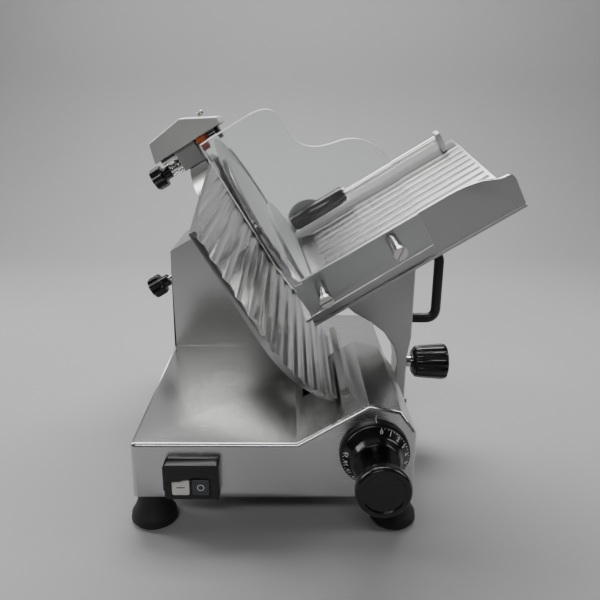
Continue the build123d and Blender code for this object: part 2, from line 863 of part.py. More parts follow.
with BuildPart() as slide_bushes:
    for bush_y in (block_near, block_near + block_length - 18):
        with BuildSketch(front_view(bush_y)):
            with Locations((rod_x, rod_z)):
                Circle(10.5)
                Circle(rod_radius + running, mode=Mode.SUBTRACT)
        extrude(amount=-18)
slide_bushes.part.label = "slide_bushes"
export_step(slide_bushes.part, "parts/slide_bushes.step")

with BuildPart() as guide_shoe:
    with BuildSketch(front_view(block_near)):
        with Locations((bar_x, 54.65)):
            Rectangle(12, 2.7)
    extrude(amount=-block_length)
guide_shoe.part.label = "guide_shoe"
export_step(guide_shoe.part, "parts/guide_shoe.step")

arm_outer = base_width + 17
arm_outline = [
    (base_width + 4, 49),
    (arm_outer, 49),
    (arm_outer, 125),
    (arm_outer + 4, 150),
    (arm_outer + 4, 340),
    (190, 340),
    (190, 222),
    (212, 200),
    (236, 180),
    (256, 168),
    (272, 156),
    (284, 138),
    (base_width + 4, 118),
]
with BuildPart() as carriage_arm:
    with BuildSketch(front_view(arm_near)):
        with BuildLine():
            Polyline(*arm_outline, close=True)
        make_face()
    extrude(amount=-arm_depth)
    split(bisect_by=tray_floor(-3), keep=Keep.BOTTOM)
carriage_arm.part.label = "carriage_arm"
export_step(carriage_arm.part, "parts/carriage_arm.step")

with BuildPart() as arm_screws:
    with BuildSketch(side_view(arm_outer)):
        with Locations((arm_near + 10, rod_z), (arm_near + 30, rod_z)):
            Circle(5)
    extrude(amount=4)
arm_screws.part.label = "arm_screws"
export_step(arm_screws.part, "parts/arm_screws.step")

lock_y = arm_near + arm_depth / 2
lock_z = 111.0
lock_axis = Axis((base_left, base_front + lock_y, lock_z), (1, 0, 0))
lock_outline = [(0, 1), (7.5, 1), (7.5, 8), (15, 8), (20, 12), (23, 48), (21, 52), (0, 52)]
with BuildPart() as arm_lock_knob:
    with BuildSketch(level(lock_z)):
        with BuildLine():
            Polyline(*[(arm_outer + 1.4 + out, lock_y + radius) for radius, out in lock_outline], close=True)
        make_face()
    revolve(axis=lock_axis)
    with BuildSketch(side_view(arm_outer + 11)):
        with Locations((lock_y, lock_z)):
            with PolarLocations(24.5, 12):
                Circle(3)
    extrude(amount=50, mode=Mode.SUBTRACT)
arm_lock_knob.part.label = "arm_lock_knob"
export_step(arm_lock_knob.part, "parts/arm_lock_knob.step")

handle_left = arm_outer + 10
with BuildPart() as carriage_handle:
    with BuildSketch(front_view(arm_near + 13)):
        with BuildLine():
            handle_path = FilletPolyline(
                (handle_left, 169), (handle_left + 25, 169), (handle_left + 25, 252), (handle_left, 252), radius=12
            )
            offset(handle_path, amount=6, side=Side.BOTH)
        make_face()
    extrude(amount=-13)
carriage_handle.part.label = "carriage_handle"
export_step(carriage_handle.part, "parts/carriage_handle.step")

# ---- tray ----
rib_pitch = 13.0
with BuildPart() as food_tray:
    with BuildSketch(tray_floor(-3)):
        with BuildLine():
            Polyline((0, 3), (0, tray_width), (tray_length - 3, tray_width), (tray_length - 3, 3), close=True)
        make_face()
    extrude(amount=3)
    # ribs up the slope that the food slides on, and a lip down the far edge
    with BuildSketch(tray_section(42)):
        with Locations((99, -0.5)):
            with GridLocations(rib_pitch, 0, 11, 1):
                Circle(2.45)
    extrude(amount=tray_length - 48)
    with BuildSketch(tray_section(0)):
        with Locations((tray_width - 1.5, -8)):
            Rectangle(3, 16)
    extrude(amount=tray_length - 3)
food_tray.part.label = "food_tray"
export_step(food_tray.part, "parts/food_tray.step")

with BuildPart() as tray_wall:
    with BuildSketch(tray_front(0)):
        with BuildLine():
            Polyline((15, tray_wall_top), (6, -8), (tray_length, -8), (tray_length, 25))
            RadiusArc((tray_length, 25), (tray_length - 7, 33), -7.5)
            Spline((tray_length - 7, 33), (224, 39), (205, 45), (180, tray_wall_top), tangents=[(-1, 0), (-1, 0)])
            Line((180, tray_wall_top), (15, tray_wall_top))
        make_face()
    extrude(amount=-3)
    with BuildSketch(tray_front(-2)):
        with BuildLine():
            Polyline((6, -8), (6, -5), (tray_length, -5), (tray_length, -8), close=True)
        make_face()
    extrude(amount=-2)
tray_wall.part.label = "tray_wall"
export_step(tray_wall.part, "parts/tray_wall.step")

# ---- clear hand guard on two standoffs ----
guard_v = -25.0
guard_thickness = 4.0
screw_places = [(34, 32), (117, 38)]
with BuildPart() as clear_guard:
    with BuildSketch(tray_front(guard_v)):
        with BuildLine():
            Polyline((18, 222), (12, 90), (14, 22), (148, 25), (148, 96))
            Spline(
                (148, 96),
                (143, 141),
                (126, 160),
                (101, 168),
                (85, 189),
                (66, 222),
                tangents=[(0, 1), (-1, 0.1)],
            )
            Line((66, 222), (18, 222))
        make_face()
        with Locations(*screw_places):
            Circle(3.2, mode=Mode.SUBTRACT)
    extrude(amount=guard_thickness)
clear_guard.part.label = "clear_guard"
export_step(clear_guard.part, "parts/clear_guard.step")

with BuildPart() as guard_standoffs:
    with BuildSketch(tray_front(guard_v)):
        with Locations(*screw_places):
            Circle(6)
    extrude(amount=guard_v)
guard_standoffs.part.label = "guard_standoffs"
export_step(guard_standoffs.part, "parts/guard_standoffs.step")

with BuildPart() as guard_screws:
    with BuildSketch(tray_front(guard_v)):
        with Locations(*screw_places):
            Circle(3)
    extrude(amount=guard_thickness)
    with BuildSketch(tray_front(guard_v - guard_thickness)):
        with Locations(*screw_places):
            Circle(7)
    extrude(amount=5)
    with BuildSketch(tray_front(guard_v - guard_thickness - 3.5)):
        with Locations(screw_places[0]):
            Rectangle(15, 1.6)
        with Locations(screw_places[1]):
            Rectangle(15, 1.6, rotation=40)
    extrude(amount=3, mode=Mode.SUBTRACT)
guard_screws.part.label = "guard_screws"
export_step(guard_screws.part, "parts/guard_screws.step")

# ---- food pusher ----
rod_start = 10.0
rod_end = 226.0
with BuildPart() as pusher_rod:
    with BuildSketch(tray_section(rod_start)):
        with Locations((pusher_v, pusher_w)):
            Circle(4)
    extrude(amount=rod_end - rod_start)
pusher_rod.part.label = "pusher_rod"
export_step(pusher_rod.part, "parts/pusher_rod.step")

with BuildPart() as rod_brackets:
    for bracket_u in (rod_start - 6, rod_end):
        with BuildSketch(tray_section(bracket_u)):
            with BuildLine():
                Line((pusher_v - 8, 0), (tray_width - 3, 0))
                Line((tray_width - 3, 0), (pusher_v + 8, pusher_w))
                Line((pusher_v + 8, pusher_w), (pusher_v + 6, pusher_w + 7))
                Line((pusher_v + 6, pusher_w + 7), (pusher_v - 6, pusher_w + 7))
                Line((pusher_v - 6, pusher_w + 7), (pusher_v - 8, 0))
            make_face()
        extrude(amount=6)
rod_brackets.part.label = "rod_brackets"
export_step(rod_brackets.part, "parts/rod_brackets.step")

sleeve_start = 18.0
sleeve_end = 100.0
with BuildPart() as pusher_sleeve:
    with BuildSketch(tray_section(sleeve_start)):
        with Locations((pusher_v, pusher_w)):
            Circle(6)
            Circle(4 + running, mode=Mode.SUBTRACT)
    extrude(amount=sleeve_end - sleeve_start)
    for collar_u in (sleeve_start - 2, sleeve_end):
        with BuildSketch(tray_section(collar_u)):
            with Locations((pusher_v, pusher_w)):
                Circle(8)
                Circle(4 + running, mode=Mode.SUBTRACT)
        extrude(amount=2)
pusher_sleeve.part.label = "pusher_sleeve"
export_step(pusher_sleeve.part, "parts/pusher_sleeve.step")

with BuildPart() as pusher_grip:
    with BuildSketch(tray_section(sleeve_start + 8)):
        with Locations((pusher_v, pusher_w)):
            Circle(10.5)
    extrude(amount=sleeve_end - sleeve_start - 8.4)
    with BuildSketch(tray_section(sleeve_start)):
        with Locations((pusher_v, pusher_w)):
            Circle(6 + running)
    extrude(amount=sleeve_end - sleeve_start, mode=Mode.SUBTRACT)
pusher_grip.part.label = "pusher_grip"
export_step(pusher_grip.part, "parts/pusher_grip.step")

# the pusher plate hangs from a hub on the sleeve, has teeth that bite the food, and turns back
# behind the grip as a half-round hand shield
plate_w = 6.0
plate_u = sleeve_start + 0.4
plate_thickness = 4.0
shield_v = pusher_v + 12
shield_thickness = 2.5
shield_bottom = 10.0
with BuildPart() as pusher_plate:
    with BuildSketch(tray_section(plate_u)):
        with Locations((pusher_v, pusher_w)):
            Circle(10.5)
    extrude(amount=7.2)
    with BuildSketch(tray_section(plate_u)):
        with BuildLine():
            Line((pusher_v, plate_w), (30, plate_w))
            Line((30, plate_w), (22, 14))
            Line((22, 14), (22, 44))
            RadiusArc((22, 44), (pusher_v - 60, 84), 95)
            RadiusArc((pusher_v - 60, 84), (pusher_v - 4, pusher_w + 8), 90)
            Line((pusher_v - 4, pusher_w + 8), (pusher_v, plate_w))
        make_face()
        with BuildLine():
            Polyline(
                (pusher_v, shield_bottom),
                (shield_v + shield_thickness, shield_bottom),
                (shield_v + shield_thickness, 22),
                (pusher_v, 24),
                close=True,
            )
        make_face()
    extrude(amount=plate_thickness)
    with BuildSketch(tray_front(shield_v)):
        with BuildLine():
            Polyline((plate_u, 22), (plate_u, shield_bottom), (71, shield_bottom))
            RadiusArc((71, shield_bottom), (24, 22), -26)
            Line((24, 22), (plate_u, 22))
        make_face()
    extrude(amount=-shield_thickness)
    for tooth_w, tooth_count, tooth_v in [(18, 12, 100), (48, 10, 88)]:
        with BuildSketch(tray_floor(tooth_w)):
            with Locations((plate_u, tooth_v)):
                with GridLocations(0, 9, 1, tooth_count):
                    RegularPolygon(3.5, 3, rotation=180)
        extrude(amount=2)
    with BuildSketch(tray_section(sleeve_start - 1)):
        with Locations((pusher_v, pusher_w)):
            Circle(6 + running)
    extrude(amount=20, mode=Mode.SUBTRACT)
pusher_plate.part.label = "pusher_plate"
export_step(pusher_plate.part, "parts/pusher_plate.step")
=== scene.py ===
"""Looks of the deli meat slicer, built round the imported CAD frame.

Metres, +Z up, +X to the operator's right, +Y away from the operator. Places come from the frame:
the boxes of its nodes, and the axes of its joints.
"""
import json
from math import cos, pi, radians, sin

import bmesh
import bpy
from mathutils import Matrix, Vector

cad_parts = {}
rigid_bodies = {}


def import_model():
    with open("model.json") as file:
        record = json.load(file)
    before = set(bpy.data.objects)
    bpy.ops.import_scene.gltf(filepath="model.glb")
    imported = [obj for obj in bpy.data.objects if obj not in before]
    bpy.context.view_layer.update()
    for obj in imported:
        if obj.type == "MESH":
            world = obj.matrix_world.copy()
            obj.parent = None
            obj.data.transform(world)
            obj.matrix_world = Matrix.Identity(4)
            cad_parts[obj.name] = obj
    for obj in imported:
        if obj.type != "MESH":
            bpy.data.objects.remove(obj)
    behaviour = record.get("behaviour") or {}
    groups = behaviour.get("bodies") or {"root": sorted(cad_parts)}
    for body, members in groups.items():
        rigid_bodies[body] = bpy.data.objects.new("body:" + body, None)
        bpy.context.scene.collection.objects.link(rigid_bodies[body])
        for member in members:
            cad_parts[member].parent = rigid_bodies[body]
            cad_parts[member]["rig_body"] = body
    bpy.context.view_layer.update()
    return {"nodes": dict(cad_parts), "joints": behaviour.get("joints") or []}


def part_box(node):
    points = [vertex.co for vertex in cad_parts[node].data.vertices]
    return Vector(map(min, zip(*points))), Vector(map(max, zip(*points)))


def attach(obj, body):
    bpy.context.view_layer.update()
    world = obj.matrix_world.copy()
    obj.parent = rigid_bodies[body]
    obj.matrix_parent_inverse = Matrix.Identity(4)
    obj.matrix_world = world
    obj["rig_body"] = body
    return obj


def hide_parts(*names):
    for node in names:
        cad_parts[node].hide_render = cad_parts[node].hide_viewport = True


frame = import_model()
nodes = frame["nodes"]
joints = {joint["name"]: joint for joint in frame["joints"]}
MM = 0.001

# ---- directions and centres, from the joints ----
AWAY = Vector((0, 1, 0))
OUT = Vector((0, -1, 0))
RIGHT = Vector((1, 0, 0))
UP = Vector((0, 0, 1))
ACROSS = Vector(joints["blade_spin"]["axis"]).normalized()  # square to the blade, towards the tray
FACE_UP = ACROSS.cross(AWAY)  # up the blade's leaning face


def joint_place(name):
    """Where a joint stands at rest."""
    return Vector(joints[name]["pos_m"])


blade_centre = joint_place("blade_spin")
dial_centre = joint_place("dial_turn")


# ---- materials ----
BEVEL_SAMPLES = 4
# cosine of the softened normal to the true one, where wear begins and where it is full
FLAT_FACE, SHARP_EDGE = 0.99, 0.88


def finish(
    name, colour, metallic=0.0, roughness=0.5, fine=900.0, stretch=(1, 1, 1), coarse=18.0,
    tint=0.06, rough_shift=0.06, bump=0.08, depth=0.00004, rings=None, wear=0.35, edge=0.0006, **sockets
):
    """A Principled material whose colour and roughness drift over a coarse noise.

    fine and coarse are the scales of the grain and the drift. tint and rough_shift are how far the
    colour and the roughness drift. bump and depth are the strength and height of the grain's relief.
    stretch draws the grain out, as brushing does. rings = (centre, axis) turns it into circles.
    wear is how far rubbed edges are lighter, and edge how wide they are softened. A wear of 0 leaves
    both out.
    """
    material = bpy.data.materials.new(name)
    material.use_nodes = True
    tree = material.node_tree
    surface = tree.nodes["Principled BSDF"]
    surface.inputs["Metallic"].default_value = metallic
    for socket, value in sockets.items():
        surface.inputs[socket.replace("_", " ")].default_value = value
    place = tree.nodes.new("ShaderNodeTexCoord").outputs["Object"]

    def noise(vector, scale, detail):
        node = tree.nodes.new("ShaderNodeTexNoise")
        node.inputs["Scale"].default_value = scale
        node.inputs["Detail"].default_value = detail
        tree.links.new(vector, node.inputs["Vector"])
        return node.outputs["Fac"]

    def spread(value, low, high, target):
        node = tree.nodes.new("ShaderNodeMapRange")
        node.inputs["From Min"].default_value = 0.3
        node.inputs["From Max"].default_value = 0.7
        node.inputs["To Min"].default_value = low
        node.inputs["To Max"].default_value = high
        tree.links.new(value, node.inputs["Value"])
        tree.links.new(node.outputs["Result"], target)

    if rings:
        centre, axis = rings
        offset = tree.nodes.new("ShaderNodeVectorMath")
        offset.operation = "SUBTRACT"
        offset.inputs[1].default_value = centre
        tree.links.new(place, offset.inputs[0])
        cross = tree.nodes.new("ShaderNodeVectorMath")
        cross.operation = "CROSS_PRODUCT"
        cross.inputs[1].default_value = axis
        tree.links.new(offset.outputs["Vector"], cross.inputs[0])
        length = tree.nodes.new("ShaderNodeVectorMath")
        length.operation = "LENGTH"
        tree.links.new(cross.outputs["Vector"], length.inputs[0])
        grain_place = tree.nodes.new("ShaderNodeCombineXYZ")
        tree.links.new(length.outputs["Value"], grain_place.inputs["X"])
        grain_vector = grain_place.outputs["Vector"]
    else:
        mapping = tree.nodes.new("ShaderNodeMapping")
        mapping.inputs["Scale"].default_value = stretch
        tree.links.new(place, mapping.inputs["Vector"])
        grain_vector = mapping.outputs["Vector"]
    grain = noise(grain_vector, fine, 4)
    drift = noise(place, coarse, 5)

    both = tree.nodes.new("ShaderNodeMath")
    both.operation = "ADD"
    tree.links.new(grain, both.inputs[0])
    tree.links.new(drift, both.inputs[1])
    half = tree.nodes.new("ShaderNodeMath")
    half.operation = "MULTIPLY"
    half.inputs[1].default_value = 0.5
    tree.links.new(both.outputs["Value"], half.inputs[0])
    smoothest, roughest = roughness - rough_shift, roughness + rough_shift
    spread(half.outputs["Value"], smoothest, roughest, surface.inputs["Roughness"])

    mix = tree.nodes.new("ShaderNodeMix")
    mix.data_type = "RGBA"
    mix.inputs["A"].default_value = (*[channel * (1 - tint) for channel in colour], 1)
    mix.inputs["B"].default_value = (*[min(1, channel * (1 + tint)) for channel in colour], 1)
    spread(drift, 0, 1, mix.inputs["Factor"])
    body_colour = mix.outputs["Result"]
    if wear:
        soft = tree.nodes.new("ShaderNodeBevel")
        soft.samples = BEVEL_SAMPLES
        soft.inputs["Radius"].default_value = edge
        turned = tree.nodes.new("ShaderNodeVectorMath")
        turned.operation = "DOT_PRODUCT"
        tree.links.new(soft.outputs["Normal"], turned.inputs[0])
        tree.links.new(tree.nodes.new("ShaderNodeNewGeometry").outputs["Normal"], turned.inputs[1])
        rubbed = tree.nodes.new("ShaderNodeMapRange")
        rubbed.inputs["From Min"].default_value = FLAT_FACE
        rubbed.inputs["From Max"].default_value = SHARP_EDGE
        tree.links.new(turned.outputs["Value"], rubbed.inputs["Value"])
        patchy = tree.nodes.new("ShaderNodeMath")
        patchy.operation = "MULTIPLY"
        tree.links.new(rubbed.outputs["Result"], patchy.inputs[0])
        tree.links.new(noise(place, coarse * 6, 3), patchy.inputs[1])
        worn = tree.nodes.new("ShaderNodeMix")
        worn.data_type = "RGBA"
        lighter = [channel + (1 - channel) * wear * 0.5 for channel in colour]
        worn.inputs["B"].default_value = (*lighter, 1)
        tree.links.new(patchy.outputs["Value"], worn.inputs["Factor"])
        tree.links.new(body_colour, worn.inputs["A"])
        body_colour = worn.outputs["Result"]
    tree.links.new(body_colour, surface.inputs["Base Color"])

    relief = tree.nodes.new("ShaderNodeBump")
    relief.inputs["Strength"].default_value = bump
    relief.inputs["Distance"].default_value = depth
    tree.links.new(grain, relief.inputs["Height"])
    if wear:
        tree.links.new(soft.outputs["Normal"], relief.inputs["Normal"])
    tree.links.new(relief.outputs["Normal"], surface.inputs["Normal"])
    return material


METAL, OTHER = 1, 0
EVEN = (1, 1, 1)
# the grain is drawn out along the axis of the small number
BRUSH_X = (0.03, 1, 1)
BRUSH_Y = (1, 0.03, 1)
BRUSH_SLOPE = (0.1, 1, 0.1)
SOFT_Y = (1, 0.1, 1)
SOFT_Z = (1, 1, 0.2)

# name, colour, metallic, roughness, fine, stretch, coarse, tint, rough_shift, bump
base_metal = finish("base_metal", (0.56, 0.56, 0.55), METAL, 0.24, 1400, BRUSH_X, 7, 0.08, 0.05, 0.035)
arm_metal = finish("arm_metal", (0.50, 0.50, 0.49), METAL, 0.34, 900, SOFT_Z, 14, 0.05, 0.06, 0.05)
cast_metal = finish("cast_metal", (0.45, 0.45, 0.44), METAL, 0.40, 420, EVEN, 25, 0.07, 0.08, 0.25)
hood_metal = finish("hood_metal", (0.74, 0.74, 0.72), METAL, 0.42, 650, SOFT_Y, 20, 0.04, 0.05, 0.1)
plate_metal = finish("plate_metal", (0.48, 0.48, 0.47), METAL, 0.24, 1800, BRUSH_Y, 12, 0.05, 0.05, 0.01)
tray_metal = finish("tray_metal", (0.50, 0.50, 0.49), METAL, 0.24, 1800, BRUSH_SLOPE, 10, 0.05, 0.03, 0.004)
# the tray wall's metal is the tray's metal made darker: painted shade, for the wall facing the operator
wall_metal_painted_shade = finish("wall_metal_painted_shade", (0.42, 0.42, 0.415), METAL, 0.30, 1800, BRUSH_SLOPE, 8, 0.05, 0.03, 0.004)
blade_metal = finish(
    "blade_metal", (0.50, 0.50, 0.50), METAL, 0.16, 1500, coarse=10, bump=0.2, rings=(blade_centre, ACROSS)
)
cover_metal = finish(
    "cover_metal", (0.48, 0.48, 0.48), METAL, 0.14, 900, coarse=10, bump=0.1, rings=(blade_centre, ACROSS)
)
machined = finish("machined", (0.55, 0.55, 0.56), METAL, 0.32, 1200, EVEN, 40, 0.05, 0.06, 0.15)
chrome = finish("chrome", (0.66, 0.66, 0.65), METAL, 0.10, 300, EVEN, 25, 0.03, 0.04, 0.02)
screw_metal = finish("screw_metal", (0.70, 0.69, 0.66), METAL, 0.22, 1500, EVEN, 60, 0.06, 0.07, 0.15)
sheet_metal = finish("sheet_metal", (0.50, 0.50, 0.50), METAL, 0.36, 1200, BRUSH_Y, 20, 0.05, 0.06, 0.05)
bronze = finish("bronze", (0.60, 0.42, 0.20), METAL, 0.35, 900, EVEN, 60, 0.08, 0.08, 0.2)
motor_paint = finish("motor_paint", (0.06, 0.065, 0.07), OTHER, 0.45, 900, EVEN, 30, 0.15, 0.08, 0.2)
belt_rubber = finish("belt_rubber", (0.02, 0.02, 0.02), OTHER, 0.75, 1200, EVEN, 60, 0.2, 0.08, 0.4)
foot_rubber = finish("foot_rubber", (0.012, 0.012, 0.012), OTHER, 0.62, 1400, EVEN, 50, 0.25, 0.08, 0.5)
black_gloss = finish("black_gloss", (0.006, 0.006, 0.0065), OTHER, 0.20, 1600, EVEN, 45, 0.2, 0.06, 0.1)
black_satin = finish("black_satin", (0.010, 0.010, 0.0105), OTHER, 0.34, 1600, EVEN, 45, 0.2, 0.07, 0.3)
plate_plastic = finish("plate_plastic", (0.32, 0.33, 0.33), OTHER, 0.40, 1200, EVEN, 40, 0.08, 0.06, 0.2)
shoe_plastic = finish("shoe_plastic", (0.75, 0.75, 0.72), OTHER, 0.45, 1200, EVEN, 40, 0.04, 0.05, 0.2)
white_plastic = finish("white_plastic", (0.78, 0.76, 0.70), OTHER, 0.32, 1500, EVEN, 60, 0.03, 0.05, 0.1)
grey_plastic = finish("grey_plastic", (0.055, 0.058, 0.062), OTHER, 0.34, 1500, EVEN, 60, 0.1, 0.05, 0.1)
mark_white = finish("mark_white", (0.80, 0.80, 0.78), OTHER, 0.45, 1500, EVEN, 90, 0.05, 0.05, 0.1)
mark_black = finish("mark_black", (0.015, 0.015, 0.015), OTHER, 0.45, 1500, EVEN, 90, 0.1, 0.05, 0.1)
red_stone = finish(
    "red_stone", (0.50, 0.10, 0.03), OTHER, 0.85, 1500, EVEN, 300, 0.3, 0.05, 1.0, depth=0.0002
)
black_stone = finish(
    "black_stone", (0.03, 0.03, 0.03), OTHER, 0.80, 1500, EVEN, 300, 0.4, 0.05, 1.0, depth=0.0002
)
clear_plastic = finish(
    "clear_plastic", (0.955, 0.965, 0.965), OTHER, 0.045, 400, EVEN, 20, 0.01, 0.03, 0.01, wear=0,
    Transmission_Weight=1.0, IOR=1.46,
)
# pale, half-clear material for the guard's cut edge: a painted highlight
guard_edge_painted_highlight = finish(
    "guard_edge_painted_highlight", (0.93, 0.95, 0.95), OTHER, 0.16, 400, EVEN, 20, 0.02, 0.05, 0.02, wear=0,
    Transmission_Weight=0.12, IOR=1.46,
)


# ---- building tools ----
WELD = 0.002  # mm: corners this close are one
FLAT_ANGLE = 0.6  # degrees: faces turning by less are one
STEPS_PER_FLUTE = 16
POINT_RADIUS = 0.01  # mm: a ring this small is a point


def rounded(points, radius, steps=4):
    """The points of a line with its corners rounded off."""
    points = [Vector(point) for point in points]
    result = [points[0]]
    for before, here, after in zip(points, points[1:], points[2:]):
        start = here.lerp(before, min(0.5, radius / (before - here).length))
        end = here.lerp(after, min(0.5, radius / (after - here).length))
        for step in range(steps + 1):
            t = step / steps
            result.append(start.lerp(here, t).lerp(here.lerp(end, t), t))
    return result + [points[-1]]


def piece(name, mesh, material, body, replaced=()):
    """Puts a finished mesh in the scene as a piece on a body."""
    thing = bpy.data.objects.new(name, mesh)
    bpy.context.scene.collection.objects.link(thing)
    thing.data.materials.clear()
    thing.data.materials.append(material)
    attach(thing, body)
    if replaced:
        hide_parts(*replaced)
    return thing


def mesh_of(curve):
    """The mesh that a curve or a text makes."""
    source = bpy.data.objects.new(curve.name, curve)
    bpy.context.scene.collection.objects.link(source)
    mesh = bpy.data.meshes.new_from_object(source)
    bpy.data.objects.remove(source)
    return mesh


def soften(thing, width, segments=3, by_weight=False, angle=30):
    """Rounds the edges of a piece: the weighted ones, or those turning by more than angle degrees."""
    bevel = thing.modifiers.new("edges", "BEVEL")
    bevel.width = width
    bevel.segments = segments
    bevel.limit_method = "WEIGHT" if by_weight else "ANGLE"
    bevel.angle_limit = radians(angle)
    bevel.harden_normals = True
    return thing


def shade(mesh, angle=35):
    """Shades a mesh smooth, apart from edges turning by more than angle degrees."""
    for polygon in mesh.polygons:
        polygon.use_smooth = True
    mesh.set_sharp_from_angle(angle=radians(angle))


def refine(node, material, width=0.8, shortest=0.0, angle=28, segments=3, smooth=True):
    """Replaces a CAD node by the same shape with its outer edges rounded.

    Edges shorter than shortest or turning by less than angle degrees stay as they are. width and
    shortest are in mm.
    """
    built = bmesh.new()
    built.from_mesh(nodes[node].data)
    bmesh.ops.remove_doubles(built, verts=built.verts, dist=WELD * MM)
    flat = radians(FLAT_ANGLE)
    bmesh.ops.dissolve_limit(built, angle_limit=flat, verts=built.verts, edges=built.edges)
    weight = built.edges.layers.float.new("bevel_weight_edge")
    for edge in built.edges:
        if not edge.is_manifold or not edge.is_convex or edge.calc_length() < shortest * MM:
            continue
        if edge.calc_face_angle() > radians(angle):
            edge[weight] = 1
    mesh = bpy.data.meshes.new(node + "_shape")
    built.to_mesh(mesh)
    built.free()
    if smooth:
        shade(mesh)
    thing = piece(node + "_finished", mesh, material, nodes[node]["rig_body"], [node])
    return soften(thing, width * MM, segments, by_weight=True)


def coat(names, material):
    """Gives CAD nodes that keep their own mesh a material."""
    for name in names:
        thing = nodes[name]
        if not thing.material_slots:
            thing.data.materials.append(material)
        for material_slot in thing.material_slots:
            material_slot.material = material


def frame_of(origin, axis):
    """Matrix whose Z runs along the axis, from the origin."""
    turn = Vector(axis).to_track_quat("Z", "Y")
    return Matrix.Translation(origin) @ turn.to_matrix().to_4x4()


def turning(
    name, material, body, origin, axis, profile, flutes=0, power=2, phase=0, around=96, replaced=()
):
    """A turned piece.

    profile is (height, radius, flute depth) in mm, along the axis. flutes is how many there are, a
    higher power makes them narrower, and phase turns them about the axis, in radians.
    """
    built = bmesh.new()
    if flutes:
        around = flutes * STEPS_PER_FLUTE
    rows = []
    for height, radius, depth in profile:
        if radius < POINT_RADIUS:
            rows.append([built.verts.new((0, 0, height * MM))])
            continue
        row = []
        for step in range(around):
            angle = 2 * pi * step / around
            wave = (0.5 + 0.5 * cos(flutes * (angle - phase))) ** power if flutes else 0
            reach = (radius - depth * wave) * MM
            row.append(built.verts.new((reach * cos(angle), reach * sin(angle), height * MM)))
        rows.append(row)
    for low, high in zip(rows, rows[1:]):
        for step in range(around):
            after = (step + 1) % around
            if len(low) == 1:
                built.faces.new((low[0], high[after], high[step]))
            elif len(high) == 1:
                built.faces.new((low[step], low[after], high[0]))
            else:
                built.faces.new((low[step], low[after], high[after], high[step]))
    bmesh.ops.recalc_face_normals(built, faces=built.faces)
    built.transform(frame_of(origin, axis))
    mesh = bpy.data.meshes.new(name)
    built.to_mesh(mesh)
    built.free()
    shade(mesh, 40)
    return piece(name, mesh, material, body, replaced)


def plate(name, material, body, outline, thickness, matrix, edge=0.15):
    """A flat piece cut to an outline, thickened along the matrix's Z. All measures in mm."""
    built = bmesh.new()
    corners = [built.verts.new((x * MM, y * MM, 0)) for x, y in outline]
    face = built.faces.new(corners)
    top = bmesh.ops.extrude_face_region(built, geom=[face])
    moved = [item for item in top["geom"] if isinstance(item, bmesh.types.BMVert)]
    bmesh.ops.translate(built, verts=moved, vec=(0, 0, thickness * MM))
    bmesh.ops.recalc_face_normals(built, faces=built.faces)
    built.transform(matrix)
    mesh = bpy.data.meshes.new(name)
    built.to_mesh(mesh)
    built.free()
    shade(mesh)
    return soften(piece(name, mesh, material, body), edge * MM, 2)


def matrix_from(origin, x_axis, y_axis):
    """Matrix with the given X and Y axes, for a plate whose thickness runs along X cross Y."""
    z_axis = x_axis.cross(y_axis)
    columns = Matrix((x_axis, y_axis, z_axis)).transposed().to_4x4()
    return Matrix.Translation(origin) @ columns


# ---- castings and sheet pieces, with rounded edges ----
# node, material, width, shortest, angle, segments
refine("base_body", base_metal, 2.4, 22, 24, 4)
refine("carriage_arm", arm_metal, 2.5, 3, 20, 4)
refine("sharpener_hood", hood_metal, 1.4, 8, 20, 3)
refine("sharpener_body", cast_metal, 1.2, 6, 28, 3)
refine("gauge_plate", plate_metal, 0.6, 0, 30, 3)
refine("food_tray", tray_metal, 0.5, 20, 40, 2)
refine("tray_wall", wall_metal_painted_shade, 0.7, 0, 40, 3)
guard = refine("clear_guard", clear_plastic, 0.7, 0, 40, 2, smooth=False)
refine("ring_guard", cast_metal, 0.8, 0, 40, 3)
refine("rod_brackets", cast_metal, 0.8, 3, 25, 3)
refine("switch_frame", black_gloss, 0.8, 3, 28, 3)
refine("pusher_plate", plate_plastic, 0.4, 2, 35, 2)
refine("blade_cover", cover_metal, 0.5, 0, 25, 2)
refine("dial_flange", black_satin, 0.5, 0, 30, 2)
refine("on_button", white_plastic, 0.9, 0, 40, 3)
refine("off_button", grey_plastic, 0.9, 0, 40, 3)
refine("mains_inlet", black_satin, 0.6, 3, 35, 2)

# the guard's cut edge is made pale and milky: a painted highlight along its edge
EDGE_FACING = 0.9  # cosine to the guard's broad face, below which a face belongs to the cut edge
guard.data.materials.append(guard_edge_painted_highlight)
guard_face = max(guard.data.polygons, key=lambda polygon: polygon.area).normal.copy()
for polygon in guard.data.polygons:
    polygon.material_index = int(abs(polygon.normal.dot(guard_face)) < EDGE_FACING)

# ---- CAD nodes that keep their own mesh ----
coat(["blade"], blade_metal)
coat(["bottom_cover", "slice_deflector"], sheet_metal)
coat(["gauge_support", "slide_block"], cast_metal)
coat(
    ["blade_hub", "blade_bearings", "motor_shaft", "motor_pulley", "gauge_cam", "cam_follower",
     "gauge_rod", "guide_bar", "dial_shaft"],
    machined,
)
coat(["cover_rod", "slide_rod", "pusher_rod", "pusher_sleeve", "guard_standoffs"], chrome)
coat(["grind_spindle", "hone_spindle"], chrome)
coat(["foot_screws", "gauge_screws", "blade_screws", "arm_screws", "guard_screws"], screw_metal)
coat(["gauge_bush", "slide_bushes"], bronze)
coat(["motor"], motor_paint)
coat(["drive_belt"], belt_rubber)
coat(["feet"], foot_rubber)
coat(["guide_shoe"], shoe_plastic)
coat(["grind_stone"], red_stone)
coat(["hone_stone"], black_stone)

# ---- knobs: profiles are (height, radius, flute depth) in mm, along the knob's axis ----
def axis_point(joint, distance):
    """Point at a distance in mm along the blade's axis direction, on the line of a joint."""
    place = joint_place(joint)
    return place + ACROSS * (distance * MM - place.dot(ACROSS))


BLADE_STATION = 240.0  # mm: height of the blade's joint, in the profiles that start at ORIGIN_SHIFT
ORIGIN_SHIFT = blade_centre.dot(ACROSS) / MM - BLADE_STATION


